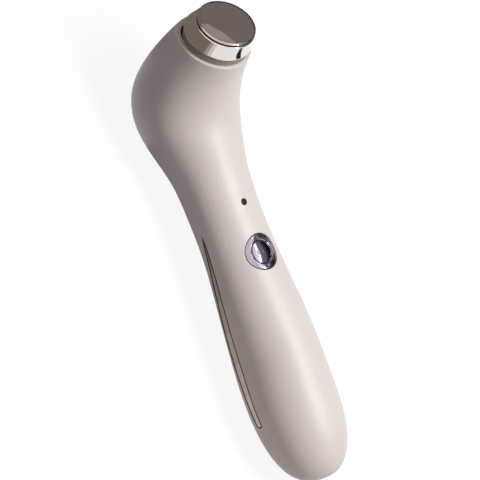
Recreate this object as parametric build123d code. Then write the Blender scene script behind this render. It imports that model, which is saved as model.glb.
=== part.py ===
from build123d import *
from math import cos, radians, sin
import os

# A hand-held cooling facial massager, lying on its back. Millimetres. X runs from the tail to
# the head, Y to the wand's left side, and Z up out of its front, where the button is.

# The moulded body. Each station: x, z, lean in degrees, half depth, half width
STATIONS = [
    (-52.7, 16.2, -0.5, 16.2, 15.9),
    (-42.3, 16.6, 0.7, 16.4, 15.5),
    (-32.0, 17.1, 0.6, 15.5, 15.2),
    (-20.4, 17.4, 0.5, 14.2, 14.6),
    (-8.5, 17.5, 0.8, 12.9, 13.7),
    (3.8, 17.6, 2.0, 12.2, 13.0),
    (16.7, 17.4, 4.8, 12.4, 12.9),
    (29.6, 17.3, 9.1, 13.5, 13.7),
    (41.6, 16.6, 14.9, 16.3, 16.3),
    (51.8, 17.4, 22.1, 18.1, 18.5),
    (59.5, 21.3, 30.7, 18.6, 18.7),
    (65.1, 28.2, 40.2, 17.4, 17.5),
    (69.6, 37.2, 49.8, 15.4, 15.5),
    (73.5, 47.7, 58.9, 13.3, 13.3),
]
MOUTH_X, MOUTH_Z, MOUTH_LEAN, MOUTH_R = STATIONS[-1][:4]
TAIL_REACH, TAIL_POWER, TAIL_STEPS = 34.3, 2.5, (83, 66, 50, 34, 18)
# How far a quarter of the outline runs on before it turns: 0.55 is an ellipse
FRONT_FULLNESS, BACK_FULLNESS = 0.552, 0.70
# How much narrower the form gets per millimetre where it is carried past the mouth, how far
# below the head's zero the mouth is cut, and the rounding of its lip
PAST_TAPER, MOUTH_CUT, LIP_ROUND = 0.15, -1.2, 0.35

# A length that reaches right across the wand, for cutting tools
FAR = 100.0

# Where the front and rear shells meet, in side view; the side strips lie over it
PARTING = [
    (-95, 13.0), (-74, 12.9), (-50, 12.4), (8, 15.2), (36, 17), (57, 23), (68, 34), (73, 48), (78, 60),
]

# The hollow inside, and what stands on its wall
WALL, HOLLOW_STEPS, HOLLOW_STATIONS = 1.8, (68, 38), (0, 3, 5, 7, 9, 10, 11, 13)
RIB, RIB_RISE, RIB_ROOT = 1.2, 2.2, 0.8
REAR_RIBS, FRONT_RIBS, DECK_RIBS = (-64.0, -45.5, -27.0), (-62.0, -38.0, 32.0), (-11.0, 20.0)
FRONT_RIB_LOW, REAR_RIB_TOP = 22.0, 12.0
TABS, TAB_LONG, TAB, TAB_REACH, TAB_DRAW = (-54.0, -35.0, 28.0), 7.0, 1.2, 3.0, 0.9
TAB_ROOT_BITE, TAB_ROOT_UP, TAB_ROOT_TALL = 0.6, 1.8, 2.4

# The treatment head. Heights run along its axis, up from the mouth of the body
GASKET_R, GASKET_HOLE_R, GASKET_TOP = 12.1, 10.2, 1.75
SKIRT_LOW, SKIRT_TOP, SKIRT_BASE_R, SKIRT_TOP_R, SKIRT_ROUND, BORE_R = 1.8, 8.3, 12.65, 10.95, 0.3, 9.4
# How far to the front the plate, its seal, and the bore with all that is in it are set
PLATE_SHIFT, SEAL_SHIFT, CORE_SHIFT = 1.4, 1.2, 1.0
PLATE_LOW, PLATE_TOP, PLATE_R, PLATE_EDGE, PLATE_ROLL = 8.65, 9.4, 10.9, 0.1, 1.3
SEAL_R, SEAL_HOLE_R = 10.4, 9.6
HUB_LOW, HUB_R = 4.6, 9.1
CERAMIC_WIDE, CERAMIC_STEP, CERAMIC, PELLET_TALL, PAD = 12.4, 0.8, 0.8, 1.6, 0.4
SENSOR_X, SENSOR_R, SENSOR_TALL = -7.3, 0.8, 1.6
PELLET, PELLET_PITCH, PELLET_COUNT = 1.1, 2.0, 6
SINK_R, SINK_BASE, FIN_R, FIN_LONG, FIN, FIN_PITCH, FIN_COUNT = 9.5, 2.2, 8.2, 12.0, 0.9, 2.2, 6
LEAD_PLAY = 0.3
FRAME_R, FRAME_LOW, FRAME_SEAT_R = 11.3, -4.2, 8.6

# The button and the pilot light, on the front of the waist
BUTTON_X, BUTTON_Z, BUTTON_LEAN = -2.5, 29.8, 4.0
BUTTON_R, BUTTON_GAP, BUTTON_SUNK, BORE_ROUND, BORE_DEEP = 6.6, 0.2, 0.15, 0.25, 8.0
CAP_WALL, CAP_TOP, FLANGE_R, FLANGE_LOW, FLANGE = 1.3, 1.9, 7.6, -4.9, 0.8
DISH_R, DISH_RIM, DISH = 4.4, 0.35, 0.9
POCKET_PLAY, POCKET_DEEP, POCKET_OVER = 0.3, 3.0, 0.15
LIGHT_X, LIGHT_R, LIGHT_SUNK = 16.3, 1.3, 0.25
BOSS_R, BOSS_LOW, BOSS_TOP = 2.9, 25.0, 28.3
PIPE_R, PIPE_LOW, PIPE_STEP, PIPE_PLAY = 2.0, 22.0, 24.9, 0.04

# The metal strip let into each side, in side view
STRIP_TIP, STRIP_TAIL = (9.6, 16.1), (-61.3, 11.6)
STRIP_FRONT = [(-60.9, 13.0), (-40, 13.4), (-18, 14.8)]
STRIP_REAR = [(-59.3, 10.5), (-44, 9.7), (-26, 10.6), (-8, 13.2)]
STRIP_DEEP, STRIP_GAP = 0.8, 0.3
STRIP_PIN_X, STRIP_PIN_Z, STRIP_PIN_R, STRIP_PIN_FROM, STRIP_PIN_TO = -40.0, 11.6, 0.7, 11.4, 14.1
STRIP_PLAY, PIN_HOLE_Y, PIN_HOLE = 0.05, 14.0, 8.0

# Inside the handle
CELL_R, CELL_LONG, CELL_FROM, CELL_Z, CELL_EDGE = 9.0, 49.0, -70.2, 15.7, 0.5
NUB_R, NUB, CELL_TAB, CELL_TAB_WIDE = 3.0, 0.8, 0.24, 5.0
# The welded tabs on the cell's tail and head end: y, height over the cell's middle, tall
TAIL_TAB, HEAD_TAB = (-2.4, 4.2, 10.4), (-1.6, 2.8, 8.6)
PAD_LONG, PAD_WIDE, PAD_TALL, PAD_PLAY = 6.0, 5.0, 6.0, 0.45
TRAY_FROM, TRAY_TO, TRAY_WALL, DECK_TO, DECK_TOP = -71.7, -18.0, 1.2, 27.5, 18.6
LEG_Y, LEG_LOW, DECK_WIDE, END_WIDE, POST_R, CELL_PLAY = 7.2, 10.6, 16.0, 15.5, 1.7, 0.15
BOARD_X, BOARD_LOW, BOARD_LONG, BOARD_WIDE, BOARD = 5.0, 19.6, 42.0, 15.0, 1.2
BOARD_TOP = BOARD_LOW + BOARD
SCREW_X, SCREW_Y, SCREW_R, SCREW_HEAD_R = 13.0, 5.6, 0.75, 1.4
# The chips on the board: x, y, long, wide, tall
CHIPS = [(8.5, 3.2, 4.0, 4.0, 0.9), (9.0, -4.0, 5.0, 3.2, 1.4), (-9.5, 0, 3.0, 4.0, 1.6)]
SOCKET_TAIL, SOCKET_HEAD, SOCKET_LONG, SOCKET_WIDE, SOCKET_TALL = -14.2, 24.0, 3.0, 12.0, 2.4
SWITCH, SWITCH_TALL, PLUNGER_R, PLUNGER_GAP, PLUNGER_TOP = 6.0, 3.4, 1.6, 0.05, 25.25
MOTOR_FROM, MOTOR_Z, MOTOR_R, MOTOR_LONG, SLEEVE, SEAT = 36.0, 11.0, 3.5, 12.0, 1.2, 8.0
SHAFT_R, SHAFT_PLAY, SHAFT_HOLE, SHAFT_FROM = 0.5, 0.05, 3.0, 4.0
WEIGHT_R, WEIGHT_LONG, WEIGHT_OFF, WEIGHT_TOP = 3.2, 4.5, 1.0, 0.9
WIRE_R, WIRE_SHY = 0.5, 0.25
# The leads' heights and places: cooler's y, top and bend on the head's axis; motor's; cell's
COOLER_LEAD_Y, COOLER_LEAD_TOP, COOLER_BEND, COOLER_END = 7.6, 1.7, -27.0, (3.4, 22.2)
MOTOR_LEAD_Y, MOTOR_LEAD_Z = 1.2, 21.9
CELL_LEAD_Y, CELL_LEAD_Z, LEAD_END_Y, LEAD_END_Z, SHORT_Y, BEND_X = -4.4, 24.3, -4.0, 22.0, -1.8, -21.0
# The charge board's leads: y and z over the cell, and where they leave the board
CHARGE_RUNS, CHARGE_TURN_X, CHARGE_FOOT, CHARGE_RISE = ((4.4, 24.3), (5.9, 23.6)), -69.0, -13.0, 4.0

# The charging port, in the underside of the tail
PORT_X, PORT_Z, PORT_LEAN = -85.1, 9.2, 32.0
PORT_WIDE, PORT_TALL, PORT_DEEP, PORT_WALL, PORT_SUNK = 8.94, 3.26, 7.3, 0.3, 0.7
PORT_PLAY, PORT_CUT, PORT_POCKET = 0.3, 12.0, (0, -0.6, -9.5, 12.0, 6.2, 14.0)
TONGUE_WIDE, TONGUE, TONGUE_LONG, PORT_FLOOR = 6.7, 0.7, 4.8, 0.8
CHARGE_WIDE, CHARGE, CHARGE_BACK = 11.0, 1.0, 2.0
# The charge board's outer face, over the receptacle
CHARGE_Y = -PORT_TALL / 2 - CHARGE


def slope(x, z, lean):
    """A plane across the wand: its X to the front, its Z towards the head."""
    turn = radians(lean)
    return Plane(origin=(x, 0, z), x_dir=(-sin(turn), 0, cos(turn)), z_dir=(cos(turn), 0, sin(turn)))


def along(x, z, lean, distance):
    return x + distance * cos(radians(lean)), z + distance * sin(radians(lean))


def outline(reach, width, full):
    """Half of the outline across the wand, in front of its widest line or behind it."""
    left = Bezier((0, width), (full * reach, width), (reach, full * width), (reach, 0))
    return [left, mirror(left, about=Plane.XZ)]


def section(depth, width):
    front, back = outline(depth, width, FRONT_FULLNESS), outline(-depth, width, BACK_FULLNESS)
    return make_face(front + back)


def levels(inset, steps, stations, past):
    """Every section in its place, from the tail to past the mouth."""
    x, z, lean, depth, width = STATIONS[0]
    faces = []
    for angle in steps:
        reach = (TAIL_REACH - inset) * sin(radians(angle)) ** (2 / TAIL_POWER)
        share = cos(radians(angle)) ** (2 / TAIL_POWER)
        face = section((depth - inset) * share, (width - inset) * share)
        faces.append(slope(*along(x, z, lean, -reach), lean) * face)
    for x, z, lean, depth, width in stations:
        faces.append(slope(x, z, lean) * section(depth - inset, width - inset))
    less = inset + past * PAST_TAPER
    faces.append(slope(*along(x, z, lean, past), lean + 3) * section(depth - less, width - less))
    return faces


def build_form(inset=0.0):
    """The body's solid form, cut off at the mouth. It can be drawn in."""
    form = loft(levels(inset, TAIL_STEPS, STATIONS, 6.0))
    return form - head_place(MOUTH_CUT + FAR / 2) * Box(FAR, FAR, FAR)


def round_lip(form):
    """The small rounding of the mouth's outer edge, which catches the light."""
    mouth = Plane(head_place(MOUTH_CUT))
    rim = [edge for edge in form.edges() if abs((edge @ 0.5 - mouth.origin).dot(mouth.z_dir)) < 0.01]
    return fillet(rim, LIP_ROUND)


def build_hollow():
    """The space inside the shells, in straight runs from section to section."""
    return loft(levels(WALL, HOLLOW_STEPS, [STATIONS[i] for i in HOLLOW_STATIONS], 4.0), ruled=True)


def build_front_side():
    """Everything in front of the line where the two shells meet."""
    line, high = Spline(*PARTING), FAR
    edge = Polyline(line @ 1, ((line @ 1).X, high), ((line @ 0).X, high), line @ 0)
    return extrude(Plane.XZ * make_face([line, edge]), FAR / 2, both=True)


def parting_z(x):
    for (x0, z0), (x1, z1) in zip(PARTING, PARTING[1:]):
        if x0 <= x <= x1:
            return z0 + (z1 - z0) * (x - x0) / (x1 - x0)


def measure(x):
    """Height of the middle, half depth and half width of the handle at one x."""
    first, z, lean, depth, width = STATIONS[0]
    if x < first:
        share = (1 - ((first - x) / TAIL_REACH) ** TAIL_POWER) ** (1 / TAIL_POWER)
        return z, depth * share, width * share
    for start, end in zip(STATIONS, STATIONS[1:]):
        if start[0] <= x <= end[0]:
            part = (x - start[0]) / (end[0] - start[0])
            return tuple(start[i] + part * (end[i] - start[i]) for i in (1, 3, 4))


def slab(x, inset, thick):
    """An upright slice of the handle's form, drawn in."""
    z, depth, width = measure(x)
    place = Plane(origin=(x - thick / 2, 0, z), x_dir=(0, 0, 1), z_dir=(1, 0, 0))
    return place * extrude(section(depth - inset, width - inset), thick)


def build_rib(x):
    return slab(x, WALL - RIB_ROOT, RIB) - slab(x, WALL + RIB_RISE, 3 * RIB)


def head_place(height=0.0, shift=0.0):
    """A place on the head's axis, its Z out of the head and its X to the front."""
    return slope(MOUTH_X, MOUTH_Z, MOUTH_LEAN) * Pos(shift, 0, height)


def button_place():
    """The button's axis, with its zero on the housing's surface."""
    return Pos(BUTTON_X, 0, BUTTON_Z) * Rot(0, BUTTON_LEAN, 0)


def port_place():
    """The charging port's mouth, its Z out of the tail and its X across the wand."""
    turn = radians(PORT_LEAN)
    return Plane(origin=(PORT_X, 0, PORT_Z), x_dir=(0, 1, 0), z_dir=(-cos(turn), 0, -sin(turn)))


def drum(radius, low, high):
    return Pos(0, 0, (low + high) / 2) * Cylinder(radius, high - low)


def ring(outside, inside, low, high):
    return drum(outside, low, high) - drum(inside, low - 1, high + 1)


def block(x, y, z, long, wide, tall):
    return Pos(x, y, z) * Box(long, wide, tall)


def lying(radius, x_from, x_to, z):
    """A round bar along X."""
    return Pos((x_from + x_to) / 2, 0, z) * Rot(0, 90, 0) * Cylinder(radius, x_to - x_from)


def below(z):
    return block(0, 0, z - FAR / 2, 4 * FAR, FAR, FAR)


def above(z):
    return block(0, 0, z + FAR / 2, 4 * FAR, FAR, FAR)


def strip_zone(side, grow=0.0):
    """What lies straight out from one side strip: a long leaf, pointed at the waist."""
    tip = (STRIP_TIP[0] + 3 * grow, STRIP_TIP[1])
    front = Spline(*[(x - grow / 2, z + grow) for x, z in STRIP_FRONT], tip)
    rear = Spline(*[(x - grow / 2, z - grow) for x, z in STRIP_REAR], tip)
    tail = ThreePointArc(front @ 0, (STRIP_TAIL[0] - grow, STRIP_TAIL[1]), rear @ 0)
    return extrude(Rot(90, 0, 0) * make_face([front, rear, tail]), FAR / 2, dir=(0, side, 0))


def build_tabs():
    """Tabs on the front shell's edge that locate behind the rear shell's wall."""
    tabs = []
    for x in TABS:
        z = parting_z(x)
        wall = min(measure(x - TAB_LONG / 2)[2], measure(x + TAB_LONG / 2)[2]) - WALL
        outer, inner = wall * TAB_DRAW, wall * TAB_DRAW - TAB
        for side in (-1, 1):
            tongue = block(x, side * (outer + inner) / 2, z, TAB_LONG, TAB, 2 * TAB_REACH)
            reach = wall + TAB_ROOT_BITE
            root = block(x, side * (inner + reach) / 2, z + TAB_ROOT_UP, TAB_LONG, reach - inner, TAB_ROOT_TALL)
            tabs.append(tongue + root)
    return tabs


def build_bore(form):
    """The button's bore through the front, with a soft outer edge."""
    axis, radius = Plane(button_place()), BUTTON_R + BUTTON_GAP
    form -= button_place() * drum(radius, -BORE_DEEP, 4)
    rim = []
    for edge in form.edges():
        out = edge @ 0.5 - axis.origin
        height = out.dot(axis.z_dir)
        if height > -4 and abs((out - axis.z_dir * height).length - radius) < 0.02:
            rim.append(edge)
    return fillet(rim, BORE_ROUND)


def build_front_shell(form, hollow):
    """The front half: button bore and pocket, light hole, ribs, and the locating tabs."""
    shell = build_bore(form) - hollow
    for x in FRONT_RIBS:
        shell += build_rib(x) & above(FRONT_RIB_LOW)
    for tab in build_tabs():
        shell += tab
    shell += Pos(LIGHT_X, 0, 0) * drum(BOSS_R, BOSS_LOW, BOSS_TOP)
    low, high = FLANGE_LOW - POCKET_DEEP, FLANGE_LOW + FLANGE + POCKET_OVER
    shell -= button_place() * drum(FLANGE_R + POCKET_PLAY, low, high)
    return shell - Pos(LIGHT_X, 0, 0) * drum(LIGHT_R, PIPE_LOW, FAR)


def build_rear_shell(form, hollow):
    """The rear half: ribs under the tray, motor saddle, and the charging port's mouth."""
    shell = form - hollow
    cradle = lying(CELL_R + TRAY_WALL + 2 * CELL_PLAY, -FAR, 0, CELL_Z)
    for x in REAR_RIBS:
        shell += (slab(x, WALL - RIB_ROOT, RIB) - cradle) & below(REAR_RIB_TOP)
    for x in DECK_RIBS:
        shell += slab(x, WALL - RIB_ROOT, RIB) & below(LEG_LOW - 0.05)
    x = MOTOR_FROM + MOTOR_LONG / 2
    seat = block(x, 0, MOTOR_Z - SEAT / 2, SEAT - 2, SEAT, SEAT) & slab(x, WALL - RIB_ROOT, SEAT)
    shell += seat - lying(MOTOR_R + SLEEVE, x - 5, x + 5, MOTOR_Z)
    port = extrude(SlotOverall(PORT_WIDE + PORT_PLAY, PORT_TALL + PORT_PLAY), PORT_CUT, both=True)
    return shell - port_place() * (port + block(*PORT_POCKET))


def build_grooves(form):
    """The two shallow grooves that take the side strips, and the holes for their pins."""
    core = build_form(STRIP_DEEP + STRIP_PLAY)
    grooves = []
    for side in (-1, 1):
        hole = Rot(90, 0, 0) * Cylinder(STRIP_PIN_R + STRIP_PLAY, PIN_HOLE)
        hole = Pos(STRIP_PIN_X, side * PIN_HOLE_Y, STRIP_PIN_Z) * hole
        grooves.append((strip_zone(side, STRIP_GAP) & form) - core + hole)
    return grooves


def build_strips(form):
    """The polished strips, flush with the surface, and the contact pins behind them."""
    core, long = build_form(STRIP_DEEP), STRIP_PIN_TO - STRIP_PIN_FROM
    strips, pins = [], []
    for side in (-1, 1):
        strips.append((strip_zone(side) & form) - core)
        y = side * (STRIP_PIN_FROM + long / 2)
        pins.append(Pos(STRIP_PIN_X, y, STRIP_PIN_Z) * Rot(90, 0, 0) * Cylinder(STRIP_PIN_R, long))
    return strips, pins


def build_gasket():
    return head_place() * ring(GASKET_R, GASKET_HOLE_R, MOUTH_CUT + 0.03, GASKET_TOP)


def build_skirt():
    """The flared collar: wide at the body, and set a little forward at the plate."""
    base = Pos(0, 0, SKIRT_LOW) * Circle(SKIRT_BASE_R)
    top = Pos(PLATE_SHIFT, 0, SKIRT_TOP) * Circle(SKIRT_TOP_R)
    flare = loft([base, top])
    flare = fillet(flare.edges().filter_by(GeomType.CIRCLE), SKIRT_ROUND)
    return head_place() * flare - head_place(0, CORE_SHIFT) * drum(BORE_R, 0, 20)


def build_plate():
    """The cooling plate: a flat face rolled over at its rim, on a hub that takes up the cold."""
    flat, foot, turn = PLATE_R - PLATE_ROLL, PLATE_LOW + PLATE_EDGE, FRONT_FULLNESS
    bend, drop = (flat + turn * PLATE_ROLL, PLATE_TOP), (PLATE_R, foot + turn * (PLATE_TOP - foot))
    roll = Bezier((flat, PLATE_TOP), bend, drop, (PLATE_R, foot))
    rest = Polyline(roll @ 0, (0, PLATE_TOP), (0, PLATE_LOW), (PLATE_R, PLATE_LOW), roll @ 1)
    face = revolve(Plane.XZ * make_face([roll, rest]), Axis.Z)
    hub = head_place(0, CORE_SHIFT) * drum(HUB_R, HUB_LOW, PLATE_LOW + 0.3)
    return head_place(0, PLATE_SHIFT) * face + hub


def build_plate_seal():
    return head_place(0, SEAL_SHIFT) * ring(SEAL_R, SEAL_HOLE_R, SKIRT_TOP, PLATE_LOW)


def build_cooler():
    """The thermoelectric module: two ceramic plates with rows of pellets between them."""
    place, wide = head_place(0, CORE_SHIFT), CERAMIC_WIDE
    cold = block(0, 0, HUB_LOW - CERAMIC / 2, wide, wide, CERAMIC)
    low = HUB_LOW - CERAMIC - PELLET_TALL
    hot = block(0, 0, low - CERAMIC / 2, wide + CERAMIC_STEP, wide, CERAMIC)
    start = -PELLET_PITCH * (PELLET_COUNT - 1) / 2
    pellets = []
    for row in range(PELLET_COUNT):
        for column in range(PELLET_COUNT):
            x, y = start + row * PELLET_PITCH, start + column * PELLET_PITCH
            pellets.append(place * block(x, y, low + PELLET_TALL / 2, PELLET, PELLET, PELLET_TALL))
    return place * cold, place * hot, pellets


def build_sink():
    """The finned heat sink under the module, drilled for its two leads."""
    top = HUB_LOW - 2 * CERAMIC - PELLET_TALL - PAD
    sink = drum(SINK_R, top - SINK_BASE, top)
    start = -FIN_PITCH * (FIN_COUNT - 1) / 2
    low = top - SINK_BASE - FIN_LONG
    fins = [block(0, start + i * FIN_PITCH, low + FIN_LONG / 2, 30, FIN, FIN_LONG) for i in range(FIN_COUNT)]
    for fin in fins:
        sink += fin & drum(FIN_R, low, top - SINK_BASE)
    for side in (-1, 1):
        sink -= Pos(0, side * COOLER_LEAD_Y, 0) * drum(WIRE_R + LEAD_PLAY, -9, 9)
    pad = block(0, 0, top + PAD / 2, CERAMIC_WIDE, CERAMIC_WIDE, PAD)
    return head_place() * sink, head_place(0, CORE_SHIFT) * pad


def build_head_frame():
    """The moulded ring that seats the heat sink in the body's neck."""
    seat = HUB_LOW - 2 * CERAMIC - PELLET_TALL - PAD - SINK_BASE
    frame = ring(FRAME_R, FRAME_SEAT_R, FRAME_LOW, seat)
    return head_place() * frame


def build_sensor():
    bead = Pos(SENSOR_X, 0, 0) * drum(SENSOR_R, HUB_LOW - SENSOR_TALL, HUB_LOW)
    return head_place() * bead


def build_button():
    """The push button: a dished cap with a skirt, a retaining flange and a centre stem."""
    cap = button_place() * drum(BUTTON_R, FLANGE_LOW, 4)
    cap &= build_form(BUTTON_SUNK)
    cap += button_place() * drum(FLANGE_R, FLANGE_LOW, FLANGE_LOW + FLANGE)
    cap -= button_place() * drum(BUTTON_R - CAP_WALL, FLANGE_LOW - 1, -CAP_TOP)
    cap -= button_place() * ring(DISH_R, DISH_R - DISH_RIM, -DISH, 4)
    cap -= button_place() * drum(DISH_R - 0.1, -DISH / 2, 4)
    return cap + button_place() * drum(PLUNGER_R - 0.1, PLUNGER_TOP + 0.2 - BUTTON_Z, -CAP_TOP + 0.2)


def build_switch():
    """The tact switch on the board, and its plunger."""
    low = BOARD_TOP
    body = block(BUTTON_X, 0, low + SWITCH_TALL / 2, SWITCH, SWITCH, SWITCH_TALL)
    body -= Pos(BUTTON_X, 0, 0) * drum(PLUNGER_R + PLUNGER_GAP, low + 0.8, low + 9)
    plunger = Pos(BUTTON_X, 0, 0) * drum(PLUNGER_R, low + 1.6, PLUNGER_TOP)
    return body, plunger


def build_light():
    """The light on the board and the pipe that carries it to the surface."""
    led = block(LIGHT_X, 0, BOARD_TOP + 0.4, 1.6, 1.2, 0.8)
    pipe = Pos(LIGHT_X, 0, 0) * drum(LIGHT_R - PIPE_PLAY, PIPE_LOW, FAR) & build_form(LIGHT_SUNK)
    return led, pipe + Pos(LIGHT_X, 0, 0) * drum(PIPE_R, PIPE_LOW, PIPE_STEP)


def build_board():
    """The main board, with the holes for its screws, and what is soldered on it."""
    board = block(BOARD_X, 0, BOARD_LOW + BOARD / 2, BOARD_LONG, BOARD_WIDE, BOARD)
    for x, y in screw_places():
        board -= Pos(x, y, 0) * drum(SCREW_R + 0.2, 0, 40)
    chips = [block(x, y, BOARD_TOP + tall / 2, long, wide, tall) for x, y, long, wide, tall in CHIPS]
    socket = Box(SOCKET_LONG, SOCKET_WIDE, SOCKET_TALL)
    sockets = [Pos(x, 0, BOARD_TOP + SOCKET_TALL / 2) * socket for x in (SOCKET_TAIL, SOCKET_HEAD)]
    return board, chips, sockets


def screw_places():
    return [(BOARD_X + end * SCREW_X, side * SCREW_Y) for end in (-1, 1) for side in (-1, 1)]


def build_screws():
    screw = drum(SCREW_HEAD_R, BOARD_TOP, BOARD_TOP + 0.9) + drum(SCREW_R, DECK_TOP - 1.0, BOARD_TOP + 0.4)
    screw -= block(0, 0, BOARD_TOP + 0.9, 2.0, 0.4, 0.8)
    return [Pos(x, y, 0) * screw for x, y in screw_places()]


def build_tray():
    """The moulded tray: a cradle for the cell, end walls, and a deck for the main board."""
    outside = CELL_R + TRAY_WALL + CELL_PLAY
    cradle = lying(outside, TRAY_FROM, TRAY_TO, CELL_Z) & below(CELL_Z)
    cradle -= lying(CELL_R + CELL_PLAY, TRAY_FROM + TRAY_WALL, TRAY_TO - TRAY_WALL, CELL_Z)
    long, middle = DECK_TO - TRAY_TO, (TRAY_TO + DECK_TO) / 2
    rise = DECK_TOP - CELL_Z + 1
    wall = block(TRAY_TO - TRAY_WALL / 2, 0, DECK_TOP - rise / 2, TRAY_WALL, END_WIDE, rise)
    deck = block(middle - 0.5, 0, DECK_TOP - TRAY_WALL / 2, long + 1, DECK_WIDE, TRAY_WALL)
    tray = cradle + wall + deck
    for side in (-1, 1):
        y, tall = side * LEG_Y, DECK_TOP - LEG_LOW
        tray += block(middle, y, LEG_LOW + tall / 2, long, TRAY_WALL, tall)
    for x, y in screw_places():
        tray += Pos(x, y, 0) * drum(POST_R, DECK_TOP - 1, BOARD_LOW)
        tray -= Pos(x, y, 0) * drum(SCREW_R, DECK_TOP - 1.0, BOARD_LOW + 1)
    return tray


def build_cell():
    """The rechargeable cell, the welded tab on each end, and the foam that holds it down."""
    end = CELL_FROM + CELL_LONG
    can = lying(CELL_R, CELL_FROM, end, CELL_Z)
    can = chamfer(can.edges().filter_by(GeomType.CIRCLE), CELL_EDGE)
    can += lying(NUB_R, end - CELL_EDGE, end + NUB, CELL_Z)
    tabs = []
    for x, (y, up, tall) in ((CELL_FROM - CELL_TAB / 2, TAIL_TAB), (end + NUB + CELL_TAB / 2, HEAD_TAB)):
        tabs.append(block(x, y, CELL_Z + up, CELL_TAB, CELL_TAB_WIDE, tall))
    pads = []
    for x in FRONT_RIBS[:2]:
        z, depth, width = measure(x)
        top = z + depth - WALL - RIB_RISE - PAD_PLAY
        pad = block(x, 0, top - PAD_TALL / 2, PAD_LONG, PAD_WIDE, PAD_TALL)
        pads.append(pad - lying(CELL_R, x - PAD_LONG, x + PAD_LONG, CELL_Z))
    return can, tabs, pads


def build_motor():
    """The vibration motor: can, rubber sleeve, and the off-centre weight on its shaft."""
    end = MOTOR_FROM + MOTOR_LONG
    can = lying(MOTOR_R, MOTOR_FROM, end, MOTOR_Z)
    can -= lying(SHAFT_R + SHAFT_PLAY, MOTOR_FROM + SHAFT_HOLE, end + 1, MOTOR_Z)
    sleeve = lying(MOTOR_R + SLEEVE, MOTOR_FROM + 2, end - 2, MOTOR_Z)
    sleeve -= lying(MOTOR_R, MOTOR_FROM, end, MOTOR_Z)
    start = end + WEIGHT_OFF
    shaft = lying(SHAFT_R, MOTOR_FROM + SHAFT_FROM, start + WEIGHT_LONG, MOTOR_Z)
    weight = lying(WEIGHT_R, start, start + WEIGHT_LONG, MOTOR_Z) & below(MOTOR_Z + WEIGHT_TOP)
    return can, sleeve, shaft + weight


def build_port():
    """The charging receptacle, the tongue in it, and the small board behind it."""
    low, high = -PORT_SUNK - PORT_DEEP, -PORT_SUNK
    shell = Pos(0, 0, low) * extrude(SlotOverall(PORT_WIDE, PORT_TALL), PORT_DEEP)
    room = extrude(SlotOverall(PORT_WIDE - 2 * PORT_WALL, PORT_TALL - 2 * PORT_WALL), PORT_DEEP)
    shell -= Pos(0, 0, low + PORT_FLOOR) * room
    tongue = block(0, 0, low + PORT_FLOOR + TONGUE_LONG / 2, TONGUE_WIDE, TONGUE, TONGUE_LONG)
    board = block(0, CHARGE_Y + CHARGE / 2, low - CHARGE_BACK, CHARGE_WIDE, CHARGE, CHARGE_WIDE)
    return port_place() * shell, port_place() * tongue, port_place() * board


def lead(radius, *points):
    """A wire of straight runs joined by arcs."""
    path = FilletPolyline(*points, radius=radius)
    start = Plane(origin=path @ 0, z_dir=path % 0)
    return sweep(start * Circle(WIRE_R), path=path)


def build_head_leads():
    """The leads of the cooler and of the motor, two of each, to the head end of the board."""
    end, cooler, motor = SOCKET_HEAD + SOCKET_LONG / 2 + WIRE_SHY, [], []
    for side in (-1, 1):
        top = head_place(COOLER_LEAD_TOP) * Pos(0, -side * COOLER_LEAD_Y, 0)
        bend = head_place(COOLER_BEND) * Pos(0, -side * COOLER_LEAD_Y, 0)
        cooler.append(lead(8, top.position, bend.position, Vector(end, side * COOLER_END[0], COOLER_END[1])))
        x, y, low, high = MOTOR_FROM + 1, side * MOTOR_LEAD_Y, MOTOR_Z + MOTOR_R, MOTOR_LEAD_Z
        motor.append(lead(3, (x, y, low), (x, y, high), (end, y, high)))
    return cooler, motor


def build_tail_leads():
    """The leads of the cell and of the charge board, two of each, to the board's tail end."""
    end, tab = SOCKET_TAIL - SOCKET_LONG / 2 - WIRE_SHY, CELL_FROM + CELL_LONG + NUB + CELL_TAB
    y, z = CELL_LEAD_Y, CELL_LEAD_Z
    long = lead(3, (CELL_FROM, y, z), (BEND_X, y, z), (end, LEAD_END_Y, LEAD_END_Z))
    short = Pos((tab + end) / 2, SHORT_Y, LEAD_END_Z) * Rot(0, 90, 0) * Cylinder(WIRE_R, end - tab)
    charge = []
    for y, z in CHARGE_RUNS:
        start = port_place() * Pos(y - 1, CHARGE_Y, CHARGE_FOOT)
        rise = port_place() * Pos(y - 1, CHARGE_Y - CHARGE_RISE, CHARGE_FOOT)
        over = [Vector(CHARGE_TURN_X, y, z), Vector(BEND_X, y, z), Vector(end, y - 1, LEAD_END_Z)]
        charge.append(lead(1.5, start.position, rise.position, *over))
    return [long, short], charge


def save(name, solids):
    """One STEP file for one named piece, or for a group of like pieces."""
    shape = Compound(solids) if isinstance(solids, list) else solids
    export_step(shape, f"parts/{name}.step")


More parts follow.
